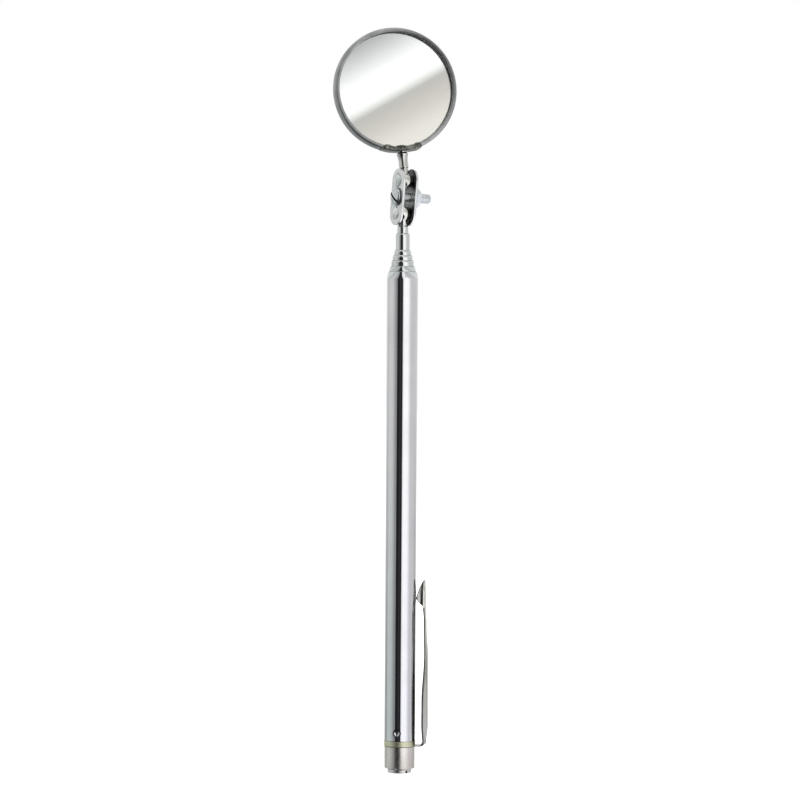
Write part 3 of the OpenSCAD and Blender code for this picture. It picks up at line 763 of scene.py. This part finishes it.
def plate_mesh(side):
    """Stamped stadium plate with two ball cups; side is +1 on the nut's side."""
    arc, straight = 56, 60
    # Each step round the plate: the height of the middle line there, and the direction outward
    outline = [(PITCH, math.pi * k / arc) for k in range(arc)]
    outline += [(PITCH * (1 - k / straight), math.pi) for k in range(straight)]
    outline += [(0, math.pi * (1 + k / arc)) for k in range(arc)]
    outline += [(PITCH * k / straight, 0) for k in range(straight)]
    roll, burr = 0.10, 0.05
    # Each ring: its distance from the middle line, whether it is outside, and its drop from the face
    rings = [((PLATE_R - roll) * k / 44, True, 0.0) for k in range(45)]
    for k in range(1, 7):
        a = math.pi / 2 * k / 6
        rings.append((PLATE_R - roll + roll * math.sin(a), True, roll * (1 - math.cos(a))))
    rings += [(PLATE_R, False, burr + extra) for extra in (0.11, 0.06)]
    for k in range(4):
        a = math.pi / 2 * k / 3
        rings.append((PLATE_R - burr + burr * math.cos(a), False, burr * (1 - math.sin(a))))
    rings += [((PLATE_R - burr) * k / 30, False, 0.0) for k in range(29, -1, -1)]
    points = []
    for w, outside, drop in rings:
        row = []
        for middle, a in outline:
            u, v = w * math.cos(a), middle + w * math.sin(a)
            height = plate_height(u, v, outside) + (-drop if outside else drop)
            row.append((side * height, u, v))
        points.append(row)
    return rings_mesh(points, closed=False)


def plate_shade_and_edge(x, y, z):
    """Painted shade where a plate faces the other one, less of it near the screw, and in the crease round each
    dome; lighter on its cut edge, for the bare sheared metal and as painted light.
    """
    d = min(math.hypot(y, z), math.hypot(y, z - PITCH))
    rim = math.hypot(y, z - min(max(z, 0), PITCH)) > PLATE_R - 0.05
    inner = 1.0 - (abs(x) - plate_height(y, z, False) - 0.06) / 0.04
    # Cut edge: bare sheared metal, lightened also as painted light
    if rim and inner <= 0:
        return -0.5
    near_screw = math.exp(-((z - PITCH / 2) / 1.5) ** 2)
    # Painted shade in the crease round each dome
    crease = 0.4 * math.exp(-((d - CREASE_R) / 0.12) ** 2) if abs(x) > 1.9 else 0.0
    # Painted shade on the inner face, weaker near the screw
    return max((0.92 - 0.6 * near_screw) * min(inner, 1), crease)


screw_hole = bar_shape(SCREW_R + 0.02, 0.5, 5)
for side, label in ((-1, "left"), (1, "right")):
    plate = piece(f"clamp_plate_{label}_stamped", plate_mesh(side), "clamp", [f"clamp_plate_{label}"],
                  "plate_steel", CLAMP, sharp=40)
    cut(plate, moved(screw_hole, lambda x, y, z: (side * z, y, x + PITCH / 2)), sharp=40)
    grime_and_painted_light(plate, plate_shade_and_edge)

THREAD_PITCH, ROOT_R, SHANK_ROOT_R = 0.45, 1.06, 1.175     # the thread is shallower between the plates
THREAD_START, THREAD_END = -PLATE_OUT + 0.6, SCREW_REACH - 0.05
HEAD_R, HEAD_SIDE, HEAD_DOME = 2.35, 0.35, 0.9
SLOT_TURN, SLOT_DEPTH = math.radians(35.6), 0.65


def threaded(angle, r, z):
    """Moves the points of the screw's shank to a right-hand thread that fades out near its ends."""
    if not THREAD_START - 1e-6 < z < THREAD_END + 1e-6:
        return r, z
    root = SHANK_ROOT_R if z < HALF_GAP else ROOT_R
    phase = (z / THREAD_PITCH - angle / TAU) % 1.0
    wave = min(max(3 * abs(2 * phase - 1) - 0.6, 0), 1)
    fade = min(1, max(0, (z - THREAD_START) / 0.4), max(0, (THREAD_END - z) / 0.35))
    r = min(root + (SCREW_R - root) * wave * fade, 0.75 + (SCREW_REACH - z) * 1.1)
    return max(r, SCREW_R - 3 * (z - THREAD_START)) if z < THREAD_START + 0.1 else r, z


def clamp_screw_mesh():
    """Screw with a domed head and a thread, chamfered at its tip."""
    angles = [math.pi / 2 * k / 18 for k in range(1, 19)]
    loop = [(0, -PLATE_OUT - HEAD_SIDE - HEAD_DOME)]
    loop += [(HEAD_R * math.sin(a), -PLATE_OUT - HEAD_SIDE - HEAD_DOME * math.cos(a)) for a in angles]
    loop += [(HEAD_R, -PLATE_OUT - 0.14), (HEAD_R - 0.05, -PLATE_OUT - 0.04), (HEAD_R - 0.14, -PLATE_OUT),
             (SCREW_R, -PLATE_OUT), (SCREW_R, -PLATE_OUT + 0.3)]
    length = THREAD_END - THREAD_START
    rows = int(length / (THREAD_PITCH / 12))
    loop += [(SCREW_R, THREAD_START + length * k / rows) for k in range(rows + 1)]
    loop += [(0.72, SCREW_REACH - 0.02), (0.62, SCREW_REACH), (0, SCREW_REACH)]
    return lathe(loop, 64, threaded)


def clamp_screw_shade_and_light(x, y, z):
    """Painted shade in the slot and on the head's side, and painted light on the shank between the plates, which
    is made lighter and rougher so that it catches more light.
    """
    head = -PLATE_OUT
    in_slot = abs(x * math.cos(SLOT_TURN) + y * math.sin(SLOT_TURN)) < 0.31
    # Painted shade in the slot
    if in_slot and (head - 0.95 < z < head - 0.55 or abs(z - head + 0.6) < 0.02):
        return 0.9
    # Painted shade on the head's side
    if math.hypot(x, y) > 2.25 and head - 0.36 < z < head:
        return 0.6
    # Painted light on the shank between the plates
    return -1.0 if abs(z) < HALF_GAP + 0.1 else 0.0


clamp_screw = piece("clamp_screw_threaded", clamp_screw_mesh(), "clamp", ["clamp_screw"], "zinc_screw",
                    SCREW, sharp=40)
slot_floor = -PLATE_OUT - 1.25 + SLOT_DEPTH
slot = turned(box_shape((-6, -0.3, -5), (6, 0.3, slot_floor)), SLOT_TURN)
cut(clamp_screw, moved(slot, lambda x, y, z: (-y, x, z)), sharp=40)
grime_and_painted_light(clamp_screw, clamp_screw_shade_and_light)


def washer_mesh():
    """External-tooth lock washer whose teeth are twisted."""
    teeth, per, tooth_half = 10, 16, 0.27
    bore_r, ring_r, tip_r, thick = 1.26, 1.9, 2.5, 0.26
    base = PLATE_OUT + 0.02 + 0.175
    count = teeth * per

    def toothed(angle, r, z):
        t = round(angle / TAU * count) % per / per - 0.5
        if abs(t) >= tooth_half:
            return (r if r <= ring_r else ring_r + (r - ring_r) * 0.02), z
        return r, z - t * 0.42 * min(1, max(0, (r - 1.7) / 0.5))

    radii = (bore_r, 1.6, ring_r, 2.2, tip_r)
    loop = [(r, base - thick / 2) for r in radii] + [(r, base + thick / 2) for r in reversed(radii)]
    return lathe(loop, count, toothed)


piece("lock_washer_toothed", washer_mesh(), "clamp", ["lock_washer"], "zinc_screw", SCREW, sharp=30)


def nut_mesh():
    """Hexagon nut, chamfered on both faces, with rounded corners."""
    half_flats, height, segments, face_r = 2.25, 1.35, 180, 2.2
    low = PLATE_OUT + 0.35 + 0.04
    bore = SCREW_R + 0.03
    columns = []
    for k in range(segments):
        a = TAU * k / segments
        across = a % (math.pi / 3) - math.pi / 6
        corner = min(half_flats / math.cos(across), half_flats / math.cos(math.pi / 6) - 0.06)
        chamfer = max(0, corner - face_r) * 0.55
        half = [(bore, 0.12), (bore + 0.12, 0), (min(corner - 0.02, face_r - 0.02), 0),
                (corner - 0.015, chamfer), (corner, chamfer + 0.02)]
        column = half + [(r, height - z) for r, z in reversed(half)]
        columns.append([(r * math.cos(a), r * math.sin(a), low + z) for r, z in column])
    return rings_mesh(list(zip(*columns)), closed=True)


piece("clamp_nut_hex", nut_mesh(), "nut_body", ["clamp_nut"], "zinc_screw", SCREW, sharp=24)


# ---- Mirror head ----
tang_z = HEAD_REACH - (FRAME_R + 0.8)
collar_z = tang_z + 0.72
flare = [(STEM_R + 0.3 * (k / 10) ** 2.2, collar_z - 2.4 + 1.7 * k / 10) for k in range(11)]
collar = [(1.5, collar_z - 0.62), (1.22, collar_z - 0.52), (1.22, collar_z - 0.3), (1.5, collar_z - 0.2),
          (1.52, collar_z - 0.02), (1.0, collar_z), (0, collar_z)]
stem_loop = rounded([(0, -PIN_TOP), (PIN_R, -PIN_TOP, 0.1), (PIN_R, BALL_FLAT + 0.02),
                     (1.05, BALL_FLAT + 0.02), (1.05, 3.15, 0.2), (STEM_R, 3.35, 0.2)] + flare + collar)
stem = piece("mirror_stem_turned", lathe(stem_loop, 96), "mirror_head", ["mirror_stem"], "stem_steel", STEM)
# Painted shade in the groove below the stem's collar
grime_and_painted_light(stem, lambda x, y, z: 0.95 if -0.56 < z - collar_z < -0.25 and math.hypot(x, y) < 1.4 else 0.0)


def rim_wave(angle, r, z):
    """Slight waviness left by rolling the rim over the glass."""
    if r < FRAME_R - 2.2 or z > HALF_DEPTH - 0.2:
        return r, z
    c, s = -math.cos(angle), math.sin(angle)
    wobble = (0.035 * noise.noise(Vector((c * 3.1, s * 3.1, z * 0.8)))
              + 0.018 * noise.noise(Vector((c * 9.0, s * 9.0, z * 1.1 + 5))))
    return r + wobble * (1 if r < FRAME_R - 0.7 else 0.35), z


FRAME_IN_R, VIEW_R, CREST_R = FRAME_R - 0.5, FRAME_R - LIP_W + 0.2, FRAME_R - 0.72
LIP_IN, BACK_IN = -HALF_DEPTH + LIP_T, HALF_DEPTH - LIP_T       # the frame's inner faces
LIP_FALL = 1.35                                                 # angle the lip's front face turns through
quarter = [math.pi / 2 * k / 12 for k in range(12)]
bead = [(CREST_R + 0.72 * math.cos(t), -HALF_DEPTH + 1.15 * (1 - math.sin(t))) for t in quarter]
bead += [(CREST_R - (CREST_R - VIEW_R) * math.sin(t),
          -HALF_DEPTH + 0.24 * (1 - math.cos(t)) / (1 - math.cos(LIP_FALL)))
         for t in [LIP_FALL * k / 10 for k in range(11)]]
frame_loop = rounded(
    [(0, HALF_DEPTH + 0.2), (11, HALF_DEPTH + 0.2, 0.8), (11.8, HALF_DEPTH, 0.8), (FRAME_R, HALF_DEPTH, 0.6)]
    + bead + [(VIEW_R - 0.01, LIP_IN), (FRAME_IN_R, LIP_IN), (FRAME_IN_R, BACK_IN, 0.1), (11.6, BACK_IN, 0.3),
              (10.8, BACK_IN + 0.2, 0.3), (0, BACK_IN + 0.2)], 10)
rim = piece("mirror_frame_rolled", lathe(frame_loop, 320, rim_wave), "mirror_head", ["mirror_frame"],
            "frame_steel", DISC)


def rim_shade_and_highlight(x, y, z):
    """Lighter on the lip's inner edge, for bare sheared metal and as a painted highlight, and painted shade on the
    lip growing towards the upper right.
    """
    r = math.hypot(x, y)
    if z > 0 or r > 15.5 or r < 12:
        return 0.0
    # Painted highlight on the lip's inner edge; painted shade towards the upper right
    return -1.0 if r < VIEW_R + 0.05 else 0.5 * max(0.0, (0.82 * x - 0.57 * y) / r) ** 3


grime_and_painted_light(rim, rim_shade_and_highlight)


def disc_shape(radius, low, high, fillet_low, fillet_high, segments):
    loop = rounded([(0, low), (radius, low, fillet_low), (radius, high, fillet_high), (0, high)])
    return lathe(loop, segments)


glass_r = FRAME_R - 0.6
glass_z = LIP_IN + 0.02
film_z = glass_z + GLASS_T
piece("mirror_glass_disc", disc_shape(glass_r, glass_z, film_z - 0.015, 0.12, 0.12, 256), "mirror_head",
      ["mirror_glass"], "glass", DISC)
piece("mirror_silver_film", disc_shape(glass_r - 0.05, film_z, film_z + 0.1, 0, 0.03, 192), "mirror_head",
      ["mirror_silvering"], "silver", DISC, sharp=20)

# Place along the saddle, from 0 at its left end to 1 at its right, and how far it stands out there
PROUD = [(0.0, 0.01), (0.1, 0.03), (0.242, 0.07), (0.377, 0.12), (0.466, 0.07), (0.529, 0.04),
         (0.637, 0.06), (0.763, 0.20), (0.925, 0.42), (0.97, 0.24), (1.0, 0.01)]


def lump(x, y, z, height):
    return noise.noise(Vector((x, y, z))) * height


def saddle_mesh():
    """Crimped strip over the rim's edge, lumpy where the tool has squeezed it."""
    left, right = math.radians(21), math.radians(18.5)
    steps = 120
    in_r = FRAME_R + 0.02
    cheek_in = HALF_DEPTH + 0.02
    rings = []
    for i in range(steps + 1):
        t = i / steps
        a = math.pi / 2 + left - (left + right) * t
        swell = math.sin(math.pi / 2 * min(1, min(t, 1 - t) / 0.16))
        fold = lump(t * 10, 3.0, 9.5, 0.2)
        cheek_r = (FRAME_R - LIP_W + 0.15 + 0.75 * (1 - swell)
                   + lump(t * 6.1, 2.0, 0.5, 0.34) + lump(t * 17, 7.0, 1.5, 0.2))
        top_r = FRAME_R + 0.05 + between(PROUD, t)[0] + 0.25 * fold * swell
        out = cheek_in + 0.03 + 0.3 * swell * (1 + min(fold, 0))
        mid_r = 0.55 * in_r + 0.45 * cheek_r
        loop = rounded([(cheek_r, cheek_in), (in_r, cheek_in), (in_r, -cheek_in), (cheek_r, -cheek_in, 0.02),
                        (cheek_r, -out + 0.14, 0.1), (mid_r, -out + 0.64 * abs(fold), 0.2),
                        (top_r - 0.3, -out, 0.2), (top_r, -out + 0.5, 0.2),
                        (top_r, out, 0.34), (cheek_r, out, 0.14)], support=False)
        rings.append([(r * math.cos(a), r * math.sin(a), z) for r, z in loop])
    verts, faces = rings_mesh(rings, closed=False)
    n = len(rings[0])
    faces.append(tuple(range(n)))
    faces.append(tuple(range(len(verts) - 1, len(verts) - n - 1, -1)))
    return verts, faces


saddle = piece("stem_saddle_crimped", saddle_mesh(), "mirror_head", ["stem_saddle"], "saddle_steel", DISC,
               sharp=50)
socket = bar_shape(1.54, -HEAD_REACH + tang_z - 1, -HEAD_REACH + collar_z + 0.02, 48)
cut(saddle, moved(socket, lambda x, y, z: (x, -z, y)), sharp=50)


# ---- Floor, light and camera ----
def floor_material():
    n = Surface("floor_white")
    colour = n.blend(n.noise(30), (0.93, 0.93, 0.93, 1), (0.95, 0.95, 0.95, 1))
    diffuse = n.add("BsdfDiffuse", {"Color": colour}).outputs[0]
    glow = n.add("Emission", {"Color": (1, 1, 1, 1), "Strength": 0.8}).outputs[0]
    return n.finish(n.add("AddShader", {0: diffuse, 1: glow}).outputs[0])


bpy.ops.mesh.primitive_plane_add(size=4)
floor = bpy.context.active_object
floor.name = "floor"
floor.data.materials.append(floor_material())
floor.visible_glossy = False
floor.visible_transmission = False

# The room's light by azimuth in degrees, from 0 behind the camera to 90 on the right, as grey levels or
# colours. LOW multiplies BELT in directions well below level.
BELT = [(-180, 0.86), (-167, 0.90), (-153, 0.98), (-140, 0.72), (-120, 0.63), (-96, 0.74), (-70, 0.69),
        (-57, 0.50), (-47, 0.33), (-38, 0.32), (-35, 0.03), (-24, 0.013), (-16, (0.036, 0.036, 0.042)),
        (-7, (0.034, 0.034, 0.04)), (-2, 0.015), (4, 0.02), (8, 0.95), (18, 1.22), (45, 1.2), (56, 0.95),
        (68, 0.70), (100, 0.68), (125, 0.72), (152, 0.80), (160, 1.05), (172, 0.95), (180, 0.86)]
LOW = [(-180, 0.05), (-168, 0.07), (-163, 0.98), (-146, 1.0), (-134, 0.55), (-120, (0.50, 0.54, 0.53)),
       (-108, (0.775, 0.845, 0.835)), (-60, (0.77, 0.84, 0.835)), (-30, (0.95, 0.95, 1.0)),
       (20, (0.97, 0.97, 1.0)), (70, (0.96, 0.95, 1.02)), (104, (0.95, 0.95, 1.0)), (118, 0.55),
       (132, 0.58), (144, 1.0), (163, 0.98), (168, 0.07), (180, 0.05)]
DARK_MIDDLE = -14       # azimuth of the dark side's middle


def studio_light():
    """White room with a broad soft light to the right, and the dark of the camera's side."""
    world = bpy.data.worlds.new("studio")
    bpy.context.scene.world = world
    n = Nodes(world)
    direction = n.add("TexCoord").outputs["Generated"]
    x, y, z = n.add("SeparateXYZ", {"Vector": direction}).outputs
    azimuth = n.math("MULTIPLY", n.math("ARCTAN2", x, n.math("MULTIPLY", y, -1)), 180 / math.pi)
    height = n.math("DIVIDE", n.math("ARCSINE", z), math.pi / 180)

    def widening(degrees, over):
        """1 at level and growing by 1 over so many degrees."""
        return n.math("ADD", n.math("DIVIDE", n.math("MAXIMUM", degrees, 0.0), over), 1.0)

    # The dark side of the room narrows upward and widens downward
    up = widening(height, 38)
    down = widening(n.math("SUBTRACT", n.math("MULTIPLY", height, -1), 9.0), 25)
    spread = n.math("SUBTRACT", azimuth, DARK_MIDDLE)
    spread = n.math("ADD", n.math("DIVIDE", n.math("MULTIPLY", spread, up), down), DARK_MIDDLE)
    turn = n.math("ADD", n.math("DIVIDE", spread, 360), 0.5)
    turn = n.math("MINIMUM", n.math("MAXIMUM", turn, 0.0), 1.0)
    belt, low = (n.ramp(turn, [(degrees / 360 + 0.5, level) for degrees, level in stops])
                 for stops in (BELT, LOW))
    is_low = n.ramp(n.math("DIVIDE", height, -16), [(0.0, 0.0), (0.12, 0.0), (0.42, 1.0)])
    rise = n.math("DIVIDE", height, 90)
    high = n.ramp(rise, [(0.0, 1.0), (0.15, (0.90, 0.93, 0.92)), (0.5, (0.80, 0.84, 0.82))])
    is_sky = n.ramp(rise, [(0.55, 0.0), (0.75, 1.0), (1.0, 1.0)])
    sky = n.ramp(rise, [(0.5, 0.7), (0.8, 1.1), (1.0, 1.7)])
    walls = n.blend(1.0, n.blend(is_low, belt, low, "MULTIPLY"), high, "MULTIPLY")
    room = n.add("Background", {"Color": n.blend(is_sky, walls, sky), "Strength": 1.0})
    plain = n.add("Background", {"Color": (1, 1, 1, 1), "Strength": 1.0})
    seen = n.add("LightPath").outputs["Is Camera Ray"]
    both = n.add("MixShader", {0: seen, 1: room.outputs[0], 2: plain.outputs[0]})
    n.add("OutputWorld", {"Surface": both.outputs[0]})


studio_light()

CARD = [(0.08, (0.83, 0.80, 0.75)), (0.22, (0.77, 0.74, 0.69)), (0.33, (0.64, 0.61, 0.575)),
        (0.44, (0.54, 0.52, 0.49)), (0.475, (0.53, 0.52, 0.50)), (0.53, (0.92, 0.92, 0.91)),
        (0.57, 1.05), (0.69, 1.03), (0.76, (0.86, 0.86, 0.87)), (0.84, (0.66, 0.66, 0.67)),
        (0.93, (0.47, 0.47, 0.48))]


def card_material():
    """Light across the card: white above a slanting soft edge, warm grey below."""
    edge_turn, edge_shift_m, half_m = math.radians(29.3), 0.0025, 0.034
    n = Surface("card_light")
    slant = (-math.sin(edge_turn), math.cos(edge_turn), 0)
    across = n.add("VectorMath", {0: n.coords, 1: slant}, operation="DOT_PRODUCT").outputs["Value"]
    place = n.add("Math", {0: across, 1: 0.5 / half_m, 2: 0.5 + edge_shift_m * 0.5 / half_m},
                  operation="MULTIPLY_ADD").outputs[0]
    return n.finish(n.add("Emission", {"Color": n.ramp(place, CARD), "Strength": 1.12}).outputs[0])


def mirror_card(camera, away_m=0.9):
    """Stands a card where the camera sees it in the mirror."""
    facing = -DISC.col[2].to_3d().normalized()
    centre = DISC.translation

    def seen(v):
        return v - 2 * v.dot(facing) * facing

    view = camera.matrix_world.to_3x3()
    sight = (centre - camera.location).normalized()
    right, up = seen(view.col[0]), seen(view.col[1])
    bpy.ops.mesh.primitive_plane_add(size=0.2)
    card = bpy.context.active_object
    card.name = "mirror_card"
    card.data.materials.append(card_material())
    card.matrix_world = axes_matrix(right, up, right.cross(up), centre + seen(sight) * away_m)
    card.visible_camera = False
    card.visible_diffuse = False
    card.visible_shadow = False


TARGET = Vector((-0.445 * MM, 0, 95.57 * MM))
ELEVATION, ROLL = math.radians(2.5), math.radians(0.365)
DISTANCE_M, VIEW_WIDTH_M = 1.0, 0.20443
lens = bpy.data.cameras.new("photo_view")
lens.sensor_width = 36
lens.lens = 36 * DISTANCE_M / VIEW_WIDTH_M
camera = bpy.data.objects.new("photo_view", lens)
bpy.context.scene.collection.objects.link(camera)
camera.location = TARGET + DISTANCE_M * Vector((0, -math.cos(ELEVATION), math.sin(ELEVATION)))
look = (TARGET - camera.location).to_track_quat("-Z", "Y").to_matrix().to_4x4()
camera.matrix_world = Matrix.Translation(camera.location) @ look @ Matrix.Rotation(ROLL, 4, "Z")
bpy.context.scene.camera = camera
bpy.context.view_layer.update()
mirror_card(camera)

bpy.context.scene.view_settings.view_transform = "Standard"
